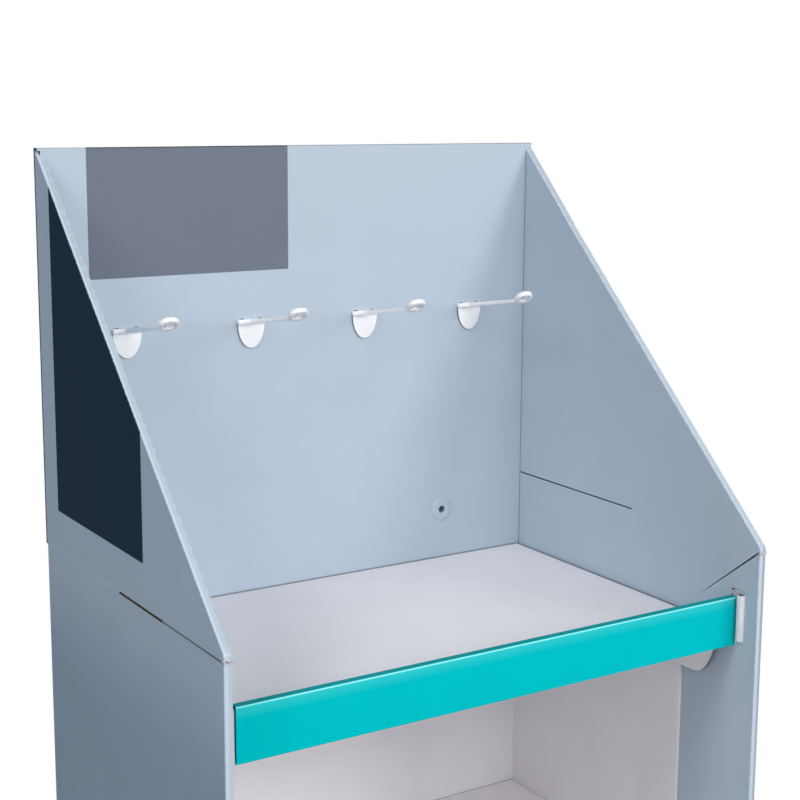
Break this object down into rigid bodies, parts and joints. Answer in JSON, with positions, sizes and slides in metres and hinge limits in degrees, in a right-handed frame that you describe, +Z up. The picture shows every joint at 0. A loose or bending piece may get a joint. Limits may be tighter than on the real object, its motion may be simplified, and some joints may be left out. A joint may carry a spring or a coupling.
{
  "type": "cardboard display stand",
  "caption": "Free-standing corrugated board shop display with open shelves, a winged header panel and hanging hooks.",
  "frame": {"origin": "middle of the footprint, on the floor", "axes": "+Z up, -Y towards the shopper, +X to the right as the shopper sees it"},
  "size_m": [0.59, 0.4054, 1.5],
  "materials": {
    "printed_board": "matte print on white-lined corrugated board",
    "header_board": "matte print on white-lined corrugated board",
    "white_board": "unprinted white liner, matte",
    "teal_board": "printed, slightly glossy varnish",
    "hook_plastic": "white moulded plastic",
    "rivet_plastic": "translucent moulded plastic"
  },
  "bodies": {
    "root": {"body_wrap": "printed_board", "header_panel": "header_board", "inner_liner": "white_board", "shelf_tray_1": "white_board", "shelf_tray_2": "white_board", "shelf_tray_3": "white_board", "shelf_tray_4": "white_board", "front_strip_1": "teal_board", "front_strip_2": "teal_board", "front_strip_3": "teal_board", "front_strip_4": "teal_board", "hook_1": "hook_plastic", "hook_2": "hook_plastic", "hook_3": "hook_plastic", "hook_4": "hook_plastic", "rivet_left": "rivet_plastic", "rivet_right": "rivet_plastic", "kick_panel": "printed_board", "divider_long_1": "white_board", "divider_long_2": "white_board", "divider_cross_1": "white_board", "divider_cross_2": "white_board", "divider_cross_3": "white_board"}
  },
  "joints": []
}
